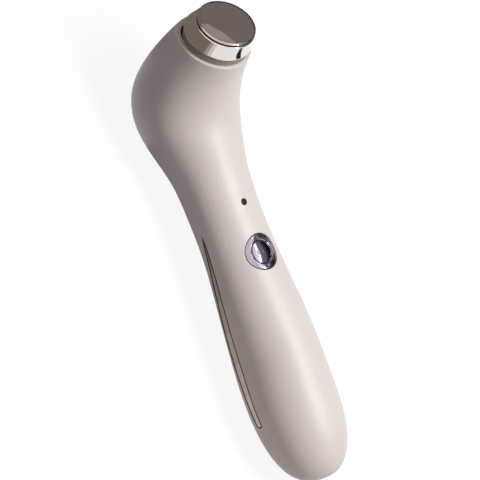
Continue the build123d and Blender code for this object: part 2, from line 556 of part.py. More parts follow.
def main():
    os.makedirs("parts", exist_ok=True)
    form, hollow, front_side = round_lip(build_form()), build_hollow(), build_front_side()
    front, rear = build_front_shell(form & front_side, hollow), build_rear_shell(form - front_side, hollow)
    for groove in build_grooves(form):
        front -= groove
        rear -= groove
    save("front_shell", front)
    save("rear_shell", rear)
    strips, pins = build_strips(form)
    save("side_strip_right", strips[0])
    save("side_strip_left", strips[1])
    save("strip_pins", pins)
    save("neck_gasket", build_gasket())
    save("chrome_skirt", build_skirt())
    save("cooling_plate", build_plate())
    save("plate_seal", build_plate_seal())
    cold, hot, pellets = build_cooler()
    save("cold_ceramic", cold)
    save("hot_ceramic", hot)
    save("cooler_pellets", pellets)
    sink, pad = build_sink()
    save("heat_sink", sink)
    save("thermal_pad", pad)
    save("head_frame", build_head_frame())
    save("temperature_sensor", build_sensor())
    save("power_button", build_button())
    body, plunger = build_switch()
    save("switch_body", body)
    save("switch_plunger", plunger)
    led, pipe = build_light()
    save("pilot_led", led)
    save("light_pipe", pipe)
    board, chips, sockets = build_board()
    save("main_board", board)
    save("board_chips", chips)
    save("wire_sockets", sockets)
    save("board_screws", build_screws())
    save("inner_tray", build_tray())
    can, tabs, pads = build_cell()
    save("battery_cell", can)
    save("battery_tabs", tabs)
    save("battery_pads", pads)
    can, sleeve, rotor = build_motor()
    save("motor_can", can)
    save("motor_sleeve", sleeve)
    save("motor_weight", rotor)
    shell, tongue, board = build_port()
    save("port_shell", shell)
    save("port_tongue", tongue)
    save("charge_board", board)
    cooler, motor = build_head_leads()
    save("cooler_leads", cooler)
    save("motor_leads", motor)
    cell, charge = build_tail_leads()
    save("battery_leads", cell)
    save("charge_leads", charge)


main()
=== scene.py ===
# %% [markdown]
# # A cooling facial massager
#
# This notebook dresses a finished solid model: it keeps the shape of every part as it is
# packed, and adds what a camera needs. That means finishes, the few pieces whose small
# lips and roundings show only close up, a floor, lamps and a camera.
# The wand lies on its back. X runs from its tail to its head, Y to its left side, and Z up.

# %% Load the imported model
from math import cos, degrees, radians, sin, sqrt

import bmesh
import bpy
from mathutils import Matrix, Vector


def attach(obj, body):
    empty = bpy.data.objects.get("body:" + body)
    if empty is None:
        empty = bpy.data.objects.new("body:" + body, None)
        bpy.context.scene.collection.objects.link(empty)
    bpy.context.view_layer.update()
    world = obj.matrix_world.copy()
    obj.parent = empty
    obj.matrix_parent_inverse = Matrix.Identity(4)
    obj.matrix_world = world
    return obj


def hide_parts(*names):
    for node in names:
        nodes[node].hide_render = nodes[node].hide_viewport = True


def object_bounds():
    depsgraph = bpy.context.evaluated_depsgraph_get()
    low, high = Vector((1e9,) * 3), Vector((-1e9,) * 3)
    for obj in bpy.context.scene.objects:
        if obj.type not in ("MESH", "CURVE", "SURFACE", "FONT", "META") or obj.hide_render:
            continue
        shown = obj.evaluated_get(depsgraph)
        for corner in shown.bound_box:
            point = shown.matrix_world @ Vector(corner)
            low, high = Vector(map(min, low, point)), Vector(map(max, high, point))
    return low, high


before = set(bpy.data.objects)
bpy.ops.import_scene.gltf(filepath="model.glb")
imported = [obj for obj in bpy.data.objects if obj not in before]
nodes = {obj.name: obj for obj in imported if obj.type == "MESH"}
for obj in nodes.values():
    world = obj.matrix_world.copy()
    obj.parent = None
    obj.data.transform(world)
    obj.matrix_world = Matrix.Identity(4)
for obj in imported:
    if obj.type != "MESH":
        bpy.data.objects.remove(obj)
MM = 0.001
cad_low, cad_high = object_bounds()
print("CAD nodes:", len(nodes), "box in mm:", [round(v / MM, 1) for v in (*cad_low, *cad_high)])

# %% [markdown]
# ## The camera
#
# Product photographs are taken from far away with a long lens, so that near parts don't
# look swollen. The camera is given by its place and by three directions: what is right of
# it, above it, and behind it. Put side by side, they are the columns of its matrix. The
# sensor and the lens are in millimetres, as on a real camera.

# %% Camera
PHOTO_PLACE = Vector((36.53, 676.32, 905.16)) * MM
PHOTO_RIGHT = Vector((-0.35237, -0.73744, 0.57622))
PHOTO_UP = Vector((0.93540, -0.29682, 0.19214))
PHOTO_BACK = Vector((0.02934, 0.60670, 0.79439))
SENSOR, LENS = 36.0, 233.53

camera_data = bpy.data.cameras.new("photo_camera")
camera_data.sensor_width = SENSOR
camera_data.lens = LENS
camera_data.clip_start = 0.05
camera_data.clip_end = 20.0
camera = bpy.data.objects.new("photo_camera", camera_data)
turn = Matrix((PHOTO_RIGHT, PHOTO_UP, PHOTO_BACK)).transposed().to_4x4()
camera.matrix_world = Matrix.Translation(PHOTO_PLACE) @ turn
bpy.context.scene.collection.objects.link(camera)
bpy.context.scene.camera = camera
bpy.context.scene.view_settings.view_transform = "Standard"
print("camera is", round(PHOTO_PLACE.length, 3), "m from the origin")

# %% [markdown]
# ## Helpers for materials
#
# Colours are noted as hex values, as a paint chart gives them. Blender reckons with linear
# light, so one function turns them round. A second one adds a node, sets it and links it.
# Pattern sizes are written in millimetres, and a texture's scale is how many fit in a metre.

# %% Helpers
def linear(code):
    """A hex colour as linear red, green, blue and a full alpha."""
    parts = [int(code[i:i + 2], 16) / 255 for i in (1, 3, 5)]
    return [c / 12.92 if c <= 0.04045 else ((c + 0.055) / 1.055) ** 2.4 for c in parts] + [1.0]


def add_node(tree, kind, settings=None, inputs=None):
    """Adds a node. Inputs are values, or sockets of other nodes, by name or number."""
    node = tree.nodes.new("ShaderNode" + kind)
    for name, value in (settings or {}).items():
        setattr(node, name, value)
    for name, value in (inputs or {}).items():
        if isinstance(value, bpy.types.NodeSocket):
            tree.links.new(value, node.inputs[name])
        else:
            node.inputs[name].default_value = value
    return node


def start_material(name, **values):
    """A material with its shader joined to the output, and its place coordinates in metres."""
    material = bpy.data.materials.new(name)
    material.use_nodes = True
    tree = material.node_tree
    tree.nodes.clear()
    settings = {key.replace("_", " "): value for key, value in values.items()}
    shader = add_node(tree, "BsdfPrincipled", None, settings)
    add_node(tree, "OutputMaterial", None, {"Surface": shader.outputs[0]})
    place = add_node(tree, "TexCoord").outputs["Object"]
    return material, tree, shader, place


def across(size):
    """The texture scale at which one grain is this many millimetres across."""
    return 1.0 / (size * MM)


def two_tone(tree, share, first, second, low=0.35, high=0.65):
    """A colour between two hex colours, by a grey value, stretched between two limits."""
    ramp = add_node(tree, "ValToRGB", None, {"Fac": share})
    ramp.color_ramp.elements[0].position = low
    ramp.color_ramp.elements[1].position = high
    ramp.color_ramp.elements[0].color = linear(first)
    ramp.color_ramp.elements[1].color = linear(second)
    return ramp.outputs["Color"]


def moulded(name, first, second, grain, depth, rough=(0.4, 0.5), **values):
    """A moulded plastic or rubber: a soft cloud of two near tones, and a fine grain.

    grain is how wide the grain is and depth how deep, both in millimetres.
    """
    material, tree, shader, place = start_material(name, **values)
    cloud = add_node(tree, "TexNoise", None, {
        "Vector": place, "Scale": across(9.0), "Detail": 3.0})
    fine = add_node(tree, "TexNoise", None, {
        "Vector": place, "Scale": across(grain), "Detail": 2.0})
    tone = two_tone(tree, cloud.outputs["Fac"], first, second)
    gloss = add_node(tree, "MapRange", None, {
        "Value": fine.outputs["Fac"], "To Min": rough[0], "To Max": rough[1]})
    relief = add_node(tree, "Bump", None, {
        "Height": fine.outputs["Fac"], "Strength": 1.0, "Distance": depth * MM})
    tree.links.new(tone, shader.inputs["Base Color"])
    tree.links.new(gloss.outputs[0], shader.inputs["Roughness"])
    tree.links.new(relief.outputs[0], shader.inputs["Normal"])
    return material


print("helpers ready")

# %% [markdown]
# ## The pearl finish of the body
#
# The body is ABS, moulded in two shells and sprayed with a pearl lacquer. Its mica flakes
# are far smaller than a pixel, so the flake is drawn half a millimetre across and faint.
# The coat gives a broad soft band of light, and the shade stays warm.

# %% Pearl lacquer on moulded ABS
def pearl_lacquer():
    """Two warm tones that lie close together, with a clear coat that is a little rough."""
    material, tree, shader, place = start_material(
        "pearl_lacquer_on_abs", Specular_IOR_Level=0.5, Coat_Weight=0.36, Coat_Roughness=0.44)
    flake = add_node(tree, "TexVoronoi", None, {"Vector": place, "Scale": across(0.5)})
    cloud = add_node(tree, "TexNoise", None, {
        "Vector": place, "Scale": across(22.0), "Detail": 2.0})
    spread = add_node(tree, "Mix", {"data_type": "RGBA"}, {
        0: 0.12, 6: cloud.outputs["Color"], 7: flake.outputs["Color"]})
    grey = add_node(tree, "RGBToBW", None, {0: spread.outputs[2]})
    tone = two_tone(tree, grey.outputs[0], "#D4C8C5", "#DBCFCC", 0.3, 0.7)
    gloss = add_node(tree, "MapRange", None, {
        "Value": grey.outputs[0], "To Min": 0.46, "To Max": 0.52})
    peel = add_node(tree, "TexNoise", None, {
        "Vector": place, "Scale": across(1.6), "Detail": 1.0})
    relief = add_node(tree, "Bump", None, {
        "Height": peel.outputs["Fac"], "Distance": 0.004 * MM})
    tree.links.new(tone, shader.inputs["Base Color"])
    tree.links.new(gloss.outputs[0], shader.inputs["Roughness"])
    tree.links.new(relief.outputs[0], shader.inputs["Normal"])
    return material


pearl = pearl_lacquer()
print("made", pearl.name)

# %% [markdown]
# ## The metals
#
# Plated and polished parts have no colour of their own to speak of: they show the room.
# What makes them look real is that the polish isn't perfect. Fine hairlines run along a
# brushed or drawn part, a plated or buffed one keeps a faint ripple, and the touch of a hand
# leaves the gloss uneven.

# %% Metals
def bright_metal(name, colour, second, hairline, gloss=(0.04, 0.09), depth=0.0008):
    """Polished metal of two near tones.

    hairline is its pattern's length along X, Y and Z, and depth how deep it is, both in
    millimetres. gloss is the least and the most roughness.
    """
    material, tree, shader, place = start_material(name, Metallic=1.0)
    stretch = add_node(tree, "Mapping", None, {
        "Vector": place, "Scale": [across(length) for length in hairline]})
    lines = add_node(tree, "TexNoise", None, {
        "Vector": stretch.outputs[0], "Scale": 1.0, "Detail": 2.0})
    smear = add_node(tree, "TexNoise", None, {
        "Vector": place, "Scale": across(7.0), "Detail": 3.0})
    rough = add_node(tree, "MapRange", None, {
        "Value": smear.outputs["Fac"], "From Min": 0.3, "From Max": 0.7,
        "To Min": gloss[0], "To Max": gloss[1]})
    relief = add_node(tree, "Bump", None, {
        "Height": lines.outputs["Fac"], "Distance": depth * MM})
    tone = two_tone(tree, smear.outputs["Fac"], colour, second)
    tree.links.new(tone, shader.inputs["Base Color"])
    tree.links.new(rough.outputs[0], shader.inputs["Roughness"])
    tree.links.new(relief.outputs[0], shader.inputs["Normal"])
    return material


# Bright chrome on moulded plastic: almost white, a little warm, and sharp as a mirror.
chrome = bright_metal(
    "bright_chrome_plate", "#E8E3E0", "#ECE7E4", (2.0, 2.0, 2.0), (0.03, 0.06), 0.0003)
# Steel buffed to a mirror: darker than chrome, with the sharpest image of all.
plate_steel = bright_metal(
    "mirror_polished_steel", "#C7BFBA", "#CBC3BE", (1.5, 1.5, 1.5), (0.015, 0.03), 0.0002)
# Nickel brushed along the strip: a soft sheen, with hairlines that run down the handle.
strip_steel = bright_metal(
    "brushed_nickel_strip", "#C3BEBA", "#CAC5C1", (18.0, 0.4, 0.4), (0.16, 0.24), 0.002)
# Tinted chrome on the button: a cool lilac grey between the warm whites.
button_chrome = bright_metal(
    "tinted_chrome_plate", "#B5B2BE", "#BBB8C5", (1.0, 1.0, 1.0), (0.05, 0.09), 0.0002)
# Gold flashed over brass: a warm yellow shine on the small pins behind the strips.
contact = bright_metal(
    "gold_flashed_brass", "#D6AF66", "#DCB76E", (0.6, 0.6, 0.6), (0.2, 0.3))
# Tungsten powder pressed and sintered: dull, dark and slightly grainy.
weight_metal = bright_metal(
    "sintered_tungsten", "#868380", "#8E8B88", (0.5, 0.5, 0.5), (0.4, 0.5), 0.01)
# Aluminium pushed through a die: pale, with fine lines along its fins.
sink_metal = bright_metal(
    "extruded_aluminium", "#B6B8BA", "#BCBEC0", (0.5, 0.5, 12.0), (0.25, 0.35), 0.004)
# Steel dipped in zinc: a grey, faintly mottled shine.
screw_steel = bright_metal(
    "zinc_plated_steel", "#B0B1AF", "#BABBB9", (0.3, 0.3, 0.3), (0.25, 0.35), 0.003)
# Bismuth telluride, sawn into pellets: a broken, dark metal grey.
pellet_metal = bright_metal(
    "sawn_bismuth_telluride", "#89878A", "#959396", (0.3, 0.3, 0.3), (0.35, 0.5), 0.01)
# Nickel-plated sheet drawn into a can: soft streaks along the draw.
can_metal = bright_metal(
    "drawn_nickel_sheet", "#BBB8B2", "#C1BEB8", (6.0, 0.4, 0.4), (0.2, 0.3), 0.003)
print("metals ready")

# %% [markdown]
# ## Plastics, rubbers and the rest inside
#
# These are seen only where a gap shows them, or when a shell is lifted off. Each still has
# the grain of how it was made.

# %% Plastics and rubbers
# Grey nitrile rubber, moulded: a matt ring, warm grey in the gap below the collar.
rubber = moulded("moulded_nitrile_rubber", "#8A7E74", "#94887E", 0.5, 0.010, (0.5, 0.62))
# Black silicone, moulded thin: it draws the dark lines round plate, button and strips.
# Round the button and the strips that black is painted shade for the shadow in their gaps,
# and round the plate it is partly the seal's own black and partly painted shade.
seal_and_gap_shade_black = moulded("black_silicone_and_painted_gap_shade", "#141212", "#1C1A19", 0.5, 0.006, (0.55, 0.65))
# Silicone sheet and tube: mid grey, dull and soft.
soft_grey = moulded("grey_silicone", "#6E6C6A", "#7A7876", 0.6, 0.012, (0.5, 0.6))
# ABS moulded in a spark-eroded tool: black with a faint grain.
black_abs = moulded("black_abs", "#1E1D1D", "#262525", 0.6, 0.006, (0.35, 0.45))
# Nylon as it comes from the tool: a milky white.
white_nylon = moulded("white_nylon", "#E4E2DC", "#ECEAE5", 0.6, 0.006, (0.4, 0.5))
# Grey ABS for the tray, left unpainted.
grey_abs = moulded("grey_abs", "#8C8B8A", "#969594", 0.7, 0.008, (0.45, 0.55))
# Alumina, fired: chalky and nearly white.
alumina = moulded("fired_alumina", "#E9E7E1", "#F2F0EC", 0.3, 0.006, (0.5, 0.6))
# Green resist printed on a glass-cloth board: the glassiest thing inside.
solder_mask = moulded("green_solder_mask", "#1F5A3A", "#2A6B46", 0.8, 0.004, (0.25, 0.35))
# Vinyl sleeve shrunk on the cell with hot air: blue with a slack shine.
cell_wrap = moulded("heat_shrunk_vinyl", "#2E5B8C", "#34659A", 1.2, 0.004, (0.2, 0.3))
# Vinyl drawn over the wires, a colour for each pair.
red_pvc = moulded("red_pvc_insulation", "#B3261E", "#BF2C23", 0.5, 0.004, (0.3, 0.4))
blue_pvc = moulded("blue_pvc_insulation", "#2B4F9E", "#3156A8", 0.5, 0.004, (0.3, 0.4))
yellow_pvc = moulded("yellow_pvc_insulation", "#D8A918", "#E0B120", 0.5, 0.004, (0.3, 0.4))
# Milky epoxy cast round the pilot light.
led_resin = moulded("cast_milky_epoxy", "#E8E6DA", "#F2F0E6", 0.4, 0.003, (0.2, 0.3))
# Smoked polycarbonate: while the light is off its window is a dark point.
smoked = moulded(
    "smoked_polycarbonate", "#1A1614", "#211C1A", 0.5, 0.002, (0.3, 0.4), Specular_IOR_Level=0.3)
print("plastics ready")

# %% Give every carried-over part its finish
FINISH = {
    "front_shell": pearl, "rear_shell": pearl,
    "side_strip_left": strip_steel, "side_strip_right": strip_steel, "strip_pins": contact,
    "neck_gasket": rubber, "plate_seal": seal_and_gap_shade_black,
    "chrome_skirt": chrome, "cooling_plate": plate_steel,
    "cold_ceramic": alumina, "hot_ceramic": alumina, "cooler_pellets": pellet_metal,
    "heat_sink": sink_metal, "thermal_pad": soft_grey, "head_frame": black_abs,
    "temperature_sensor": smoked,
    "power_button": button_chrome, "switch_body": black_abs, "switch_plunger": white_nylon,
    "pilot_led": led_resin, "light_pipe": smoked,
    "main_board": solder_mask, "board_chips": black_abs, "wire_sockets": white_nylon,
    "board_screws": screw_steel, "inner_tray": grey_abs,
    "battery_cell": cell_wrap, "battery_tabs": screw_steel, "battery_pads": soft_grey,
    "motor_can": can_metal, "motor_sleeve": soft_grey, "motor_weight": weight_metal,
    "port_shell": can_metal, "port_tongue": black_abs, "charge_board": solder_mask,
    "cooler_leads": red_pvc, "motor_leads": blue_pvc,
    "battery_leads": red_pvc, "charge_leads": yellow_pvc,
}
for name, finish in FINISH.items():
    mesh = nodes[name].data
    mesh.materials.clear()
    mesh.materials.append(finish)
print("finished", len(FINISH), "of", len(nodes), "nodes")

# %% [markdown]
# ## Round pieces built from loops
#
# The collar and the plate are turned or drawn metal: round, with edges rolled over by a
# tool. Loops of edges are laid one over another, bridged with faces, and their sharp edges
# beveled. A loop may be set to the front of the one below, which a spin can't do.

# %% Loops, bridged and beveled
def bridge_rings(shape, rings, closed=False, sides=144):
    """Round loops of (radius, height, shift) in millimetres, joined one to the next.

    It gives the edges of each loop, so that they can be beveled or filled.
    """
    loops = []
    for radius, height, shift in rings:
        made = bmesh.ops.create_circle(
            shape, cap_ends=False, radius=radius * MM, segments=sides)["verts"]
        bmesh.ops.translate(shape, verts=made, vec=(shift * MM, 0, height * MM))
        loops.append(list(dict.fromkeys(edge for vert in made for edge in vert.link_edges)))
    pairs = list(zip(loops, loops[1:]))
    if closed:
        pairs.append((loops[-1], loops[0]))
    for low, high in pairs:
        bmesh.ops.bridge_loops(shape, edges=low + high)
    return loops


def round_edges(shape, edges, size, segments=4):
    """Rolls edges over with a radius in millimetres."""
    bmesh.ops.bevel(shape, geom=edges, offset=size * MM, offset_type="OFFSET",
                    segments=segments, profile=0.5, affect="EDGES", material=-1)


def finish_piece(name, shape, material, place, body, stands_for=(), sharp=35):
    """Puts a shape in its place, turns its normals out and joins it to a body of the model.

    stands_for names the CAD nodes that it replaces. Edges bent by more than sharp degrees
    stay sharp.
    """
    bmesh.ops.transform(shape, matrix=place, verts=shape.verts)
    bmesh.ops.recalc_face_normals(shape, faces=shape.faces)
    mesh = bpy.data.meshes.new(name)
    shape.to_mesh(mesh)
    shape.free()
    mesh.shade_smooth()
    mesh.set_sharp_from_angle(angle=radians(sharp))
    mesh.materials.append(material)
    piece = bpy.data.objects.new(name, mesh)
    bpy.context.scene.collection.objects.link(piece)
    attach(piece, body)
    if stands_for:
        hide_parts(*stands_for)
    print(name, "has", len(mesh.polygons), "faces")
    return piece


def axes(origin, front, out):
    """A place in the model: X to the front, Z straight out, from a point in millimetres."""
    turn = Matrix((front, out.cross(front), out)).transposed().to_4x4()
    return Matrix.Translation(Vector(origin) * MM) @ turn


HEAD_BASE = (73.5, 0, 47.7)
LEAN = radians(58.9)
HEAD_OUT = Vector((cos(LEAN), 0, sin(LEAN)))
HEAD_FRONT = Vector((-sin(LEAN), 0, cos(LEAN)))
head_place = axes(HEAD_BASE, HEAD_FRONT, HEAD_OUT)
print("head axis leans", round(90 - degrees(LEAN), 1), "degrees from upright")

# %% [markdown]
# ## The chrome collar
#
# The flared collar is plastic with bright chrome on it. It is wide at the body and set a
# little to the front at the plate. Its wall is a straight cone. Extra loops just inside its
# two ends keep smooth shading from bending the mirror there. Both outer edges are rounded,
# and each rounding shows as a thin line of light.

# %% Chrome collar
def make_collar():
    """A cone between two loops, with a straight bore inside."""
    shape = bmesh.new()
    low, high = (12.65, 1.8, 0.0), (10.95, 8.05, 1.35)
    steps = (0.0, 0.075, 0.5, 0.93, 1.0)
    cone = [tuple(a + (b - a) * step for a, b in zip(low, high)) for step in steps]
    bore = [(9.4, 8.05, 1.0), (9.4, 1.8, 1.0)]
    loops = bridge_rings(shape, cone + bore, closed=True)
    round_edges(shape, loops[0], 0.28)
    round_edges(shape, loops[len(cone) - 1], 0.30)
    return finish_piece("chrome_collar", shape, chrome, head_place, "housing",
                        ["chrome_skirt"])


make_collar()

# %% [markdown]
# ## The cooling plate
#
# The plate is drawn steel, mirror polished. Its face looks dead flat, and rolls over at the
# rim in a soft curve. It swells by three thousandths of a millimetre, because thin
# triangles that lie in one plane can catch each other's mirrored light as dark specks. A
# loop just inside the curve keeps smooth shading from bending the mirror.

# %% Cooling plate
def make_plate():
    """A hub, a rim that rolls over from foot to top, and a face of loops that grow smaller."""
    shape = bmesh.new()
    flat, roll, foot, top, swell, steps, shift = 9.85, 0.95, 8.95, 9.36, 0.003, 10, 1.4
    rings = [(9.1, 4.6, 1.0), (9.1, 8.85, 1.0), (10.7, 8.85, shift)]
    for step in range(steps, -1, -1):
        turn = radians(90 * step / steps)
        rings.append((flat + roll * sin(turn), foot + (top - foot) * cos(turn), shift))
    for radius in (9.75, 8, 6, 4, 2, 0.5):
        rings.append((radius, top + swell * (1 - (radius / flat) ** 2), shift))
    loops = bridge_rings(shape, rings)
    bmesh.ops.edgeloop_fill(shape, edges=loops[0])
    bmesh.ops.edgeloop_fill(shape, edges=loops[-1])
    return finish_piece("mirror_plate", shape, plate_steel, head_place, "housing",
                        ["cooling_plate"], 50)


def make_plate_seal_with_shade():
    """A black silicone ring between plate and collar, seen as the dark line under the rim. Its
    black is partly the seal's own colour and partly painted shade of the gap.
    """
    shape = bmesh.new()
    rings = [(9.6, 8.1, 1.2), (10.72, 8.1, 1.36), (10.66, 8.5, 1.38), (10.6, 8.8, 1.38),
             (9.6, 8.8, 1.2)]
    loops = bridge_rings(shape, rings, closed=True)
    round_edges(shape, loops[1], 0.1, 2)
    return finish_piece("plate_lip", shape, seal_and_gap_shade_black, head_place, "housing",
                        ["plate_seal"])


make_plate()
make_plate_seal_with_shade()

# %% [markdown]
# ## A dark band of painted shade round each strip
#
# The nickel strips sit in grooves. A thin black band fills the gap round them, as painted
# shade: it draws the shadow of the gap as the fine dark outline of the strip. The band starts
# as the strip itself. Its broad faces are taken away, so that its walls are left, and they
# are extruded in place. The second wall is then pushed half a millimetre out, and all of it
# stands a little proud.

# %% Painted shade round the strips
def make_strip_gap_shade(strip, name):
    """A narrow black band of painted shade round a strip, made from the strip's own walls."""
    shape = bmesh.new()
    inner_gap, width, proud = 0.01 * MM, 0.5 * MM, 0.05 * MM
    shape.from_mesh(nodes[strip].data)
    bmesh.ops.transform(shape, matrix=nodes[strip].matrix_world, verts=shape.verts)
    bmesh.ops.remove_doubles(shape, verts=shape.verts, dist=0.001 * MM)
    broad = [face for face in shape.faces if abs(face.normal.y) > 0.5]
    bmesh.ops.delete(shape, geom=broad, context="FACES")
    wall = list(shape.verts)
    grown = bmesh.ops.extrude_face_region(shape, geom=shape.faces, use_keep_orig=True)["geom"]
    outer = [item for item in grown if isinstance(item, bmesh.types.BMVert)]
    shape.normal_update()
    for verts, out in ((wall, inner_gap), (outer, width)):
        for vert, way in [(vert, vert.normal.copy()) for vert in verts]:
            vert.co += way * out
            vert.co.y += proud if vert.co.y > 0 else -proud
    along = [vert.co.x / MM for vert in shape.verts]
    print("the bead is", round(max(along) - min(along), 1), "mm long")
    return finish_piece(name, shape, seal_and_gap_shade_black, Matrix.Identity(4), "housing")


# The black bands paint the shadow in the gaps round the strips.
make_strip_gap_shade("side_strip_left", "strip_bead_left")
make_strip_gap_shade("side_strip_right", "strip_bead_right")

# %% [markdown]
# ## The button's cap
#
# The cap is moulded and chromed. An outer ring follows the round of the handle and has a
# fine groove in it. A wider groove runs inside the ring, and the middle is a low dome. The
# ring's loops start flat, and are then let down at each side by as much as the handle falls
# away there.

# %% Button cap
BUTTON = (-2.5, 0, 29.8)
TILT = radians(4.0)
BUTTON_FRONT = Vector((cos(TILT), 0, -sin(TILT)))
BUTTON_OUT = Vector((sin(TILT), 0, cos(TILT)))
button_place = axes(BUTTON, BUTTON_FRONT, BUTTON_OUT)


def fall(y):
    """How far the handle's surface falls at this distance from its middle, in metres."""
    wide, deep = 13.35 * MM, 12.55 * MM
    return deep * (1 - sqrt(1 - (y / wide) ** 2))


def make_cap():
    """Skirt, ring, groove and dome, as pairs of radius and height from outside to inside."""
    shape = bmesh.new()
    ball, dome, steps, middle = 11.5, 3.95, 9, 0.15
    skirt = [(5.3, -4.9), (7.6, -4.9), (7.6, -4.1), (6.5, -4.1)]
    ring = [(6.5, -0.42), (6.47, -0.28), (6.4, -0.18), (6.28, -0.11), (6.1, -0.06),
            (5.85, -0.03), (5.55, -0.015), (5.4, -0.02), (5.32, -0.12), (5.2, -0.12),
            (5.12, -0.02), (4.9, -0.02), (4.75, -0.04), (4.6, -0.08), (4.5, -0.16),
            (4.4, -0.5)]
    profile = skirt + ring + [(4.15, -1.15), (4.0, -0.95)]
    for step in range(steps, -1, -1):
        radius = dome * (step + middle) / (steps + middle)
        profile.append((radius, sqrt(ball ** 2 - radius ** 2) - ball))
    loops = bridge_rings(shape, [(radius, height, 0) for radius, height in profile])
    bmesh.ops.edgeloop_fill(shape, edges=loops[-1])
    bent = loops[len(skirt):len(skirt) + len(ring)]
    for vert in {vert for loop in bent for edge in loop for vert in edge.verts}:
        vert.co.z -= fall(vert.co.y)
    return finish_piece("button_cap", shape, button_chrome, button_place, "button",
                        ["power_button"], 40)


def make_cap_gap_shade():
    """A black ring fills the gap round the cap: painted shade, that draws the gap's shadow as
    the cap's dark outline.
    """
    shape = bmesh.new()
    profile = [(6.53, -1.6), (6.79, -1.6), (6.79, -0.36), (6.66, -0.28), (6.53, -0.4)]
    bridge_rings(shape, [(radius, height, 0) for radius, height in profile], closed=True)
    for vert in shape.verts:
        vert.co.z -= fall(vert.co.y)
    return finish_piece("button_seal", shape, seal_and_gap_shade_black, button_place, "housing")


make_cap()
# A black ring of painted shade draws the dark outline round the button.
make_cap_gap_shade()

# %% [markdown]
# ## Floor, world and lamps
#
# The photograph has a pure white ground. The floor is a dark grey that throws little light
# back up, and it adds white for the camera and for metal that mirrors it. The shadow under
# the wand stays, because only part of the white is added. The world works the same way: it
# is white to the camera, and gives the object a dimmer, slightly rosy light.

# %% Floor and world
def add_white(tree, base, full):
    """A value that is base for light that spreads, and full for what is seen or mirrored."""
    path = add_node(tree, "LightPath")
    seen = add_node(tree, "Math", {"operation": "ADD", "use_clamp": True}, {
        0: path.outputs["Is Camera Ray"], 1: path.outputs["Is Glossy Ray"]})
    seen = add_node(tree, "Math", {"operation": "ADD", "use_clamp": True}, {
        0: seen.outputs[0], 1: path.outputs["Is Transmission Ray"]})
    value = add_node(tree, "MapRange", None, {
        "Value": seen.outputs[0], "To Min": base, "To Max": full})
    return value.outputs[0]


def glowing(name, colour, strength, paint=None):
    """A backdrop finish that gives off its own light, with matt paint under it if given.

    Strength is a number, or a function that makes a socket in the material's tree.
    """
    material = bpy.data.materials.new(name)
    material.use_nodes = True
    tree = material.node_tree
    tree.nodes.clear()
    glow = add_node(tree, "Emission", None, {"Color": colour})
    if callable(strength):
        tree.links.new(strength(tree), glow.inputs["Strength"])
    else:
        glow.inputs["Strength"].default_value = strength
    last = glow
    if paint:
        matt = add_node(tree, "BsdfDiffuse", None, {"Color": paint})
        last = add_node(tree, "AddShader", None, {0: matt.outputs[0], 1: glow.outputs[0]})
    add_node(tree, "OutputMaterial", None, {"Surface": last.outputs[0]})
    material.cycles.emission_sampling = "NONE"
    return material


def stage_sheet(name, corners, material):
    """A flat four-sided sheet of the set, from its corners in millimetres."""
    shape = bmesh.new()
    shape.faces.new([shape.verts.new([v * MM for v in corner]) for corner in corners])
    mesh = bpy.data.meshes.new(name)
    shape.to_mesh(mesh)
    shape.free()
    mesh.materials.append(material)
    sheet = bpy.data.objects.new(name, mesh)
    bpy.context.scene.collection.objects.link(sheet)
    return sheet


def laid(left, right, near, far, height):
    """Corners of a level sheet, from its limits along X and Y and its height."""
    return [(left, near, height), (right, near, height), (right, far, height),
            (left, far, height)]


WHITE, DARK_PAINT, ROOM_TINT = (1, 1, 1, 1), (0.10, 0.10, 0.10, 1), (1, 0.93, 0.92, 1)
FLOOR_GLOW, FLOOR_WHITE = 0.22, 0.90
ROOM_GLOW, ROOM_WHITE = 0.34, 1.0
REACH = 5000
FLOOR = cad_low.z / MM - 0.05
floor_paint = glowing("painted_floor", WHITE,
                      lambda tree: add_white(tree, FLOOR_GLOW, FLOOR_WHITE), DARK_PAINT)
stage_sheet("floor", laid(-REACH, REACH, -REACH, REACH, FLOOR), floor_paint)

world = bpy.data.worlds.new("studio")
world.use_nodes = True
world.cycles.sampling_method = "NONE"
bpy.context.scene.world = world
room = world.node_tree
room.nodes.clear()
path = add_node(room, "LightPath")
tint = add_node(room, "Mix", {"data_type": "RGBA"}, {
    0: path.outputs["Is Camera Ray"], 6: ROOM_TINT, 7: WHITE})
sky = add_node(room, "Background", None, {
    "Color": tint.outputs[2], "Strength": add_white(room, ROOM_GLOW, ROOM_WHITE)})
add_node(room, "OutputWorld", None, {"Surface": sky.outputs[0]})
print("floor at", round(FLOOR, 2), "mm")

# %% [markdown]
# ## Lamps
#
# The key lamp is long and soft. It hangs high over the wand, a little to its right, which
# is the side away from the camera, and gives the lacquer its broad band of light. From there
# the light falls off round the body towards the camera's left. A weaker lamp stands low on
# the same side and fills the far edge. No mirror sees that one.

# %% Lamps
def softbox(name, place, aim, wide, tall, power):
    """A soft lamp with its long side along X. Places and sizes are in metres."""
    data = bpy.data.lights.new(name, "AREA")
    data.shape = "RECTANGLE"
    data.size, data.size_y, data.energy = wide, tall, power
    lamp = bpy.data.objects.new(name, data)
    back = (Vector(place) - Vector(aim)).normalized()
    along = Vector((1, 0, 0)) - back * back.x
    along.normalize()
    turn = Matrix((along, back.cross(along), back)).transposed().to_4x4()
    lamp.matrix_world = Matrix.Translation(place) @ turn
    lamp.visible_camera = False
    bpy.context.scene.collection.objects.link(lamp)
    return lamp


AIM = (0, 0, 0.02)
COOL = (0.93, 1.0, 0.99)
key = softbox("key_softbox", (-0.08, -0.20, 0.90), AIM, wide=0.70, tall=0.20, power=7.4)
key.data.color = COOL
side = softbox("side_softbox", (0.0, -0.9, 0.30), AIM, wide=0.6, tall=0.3, power=1.2)
side.visible_glossy = False

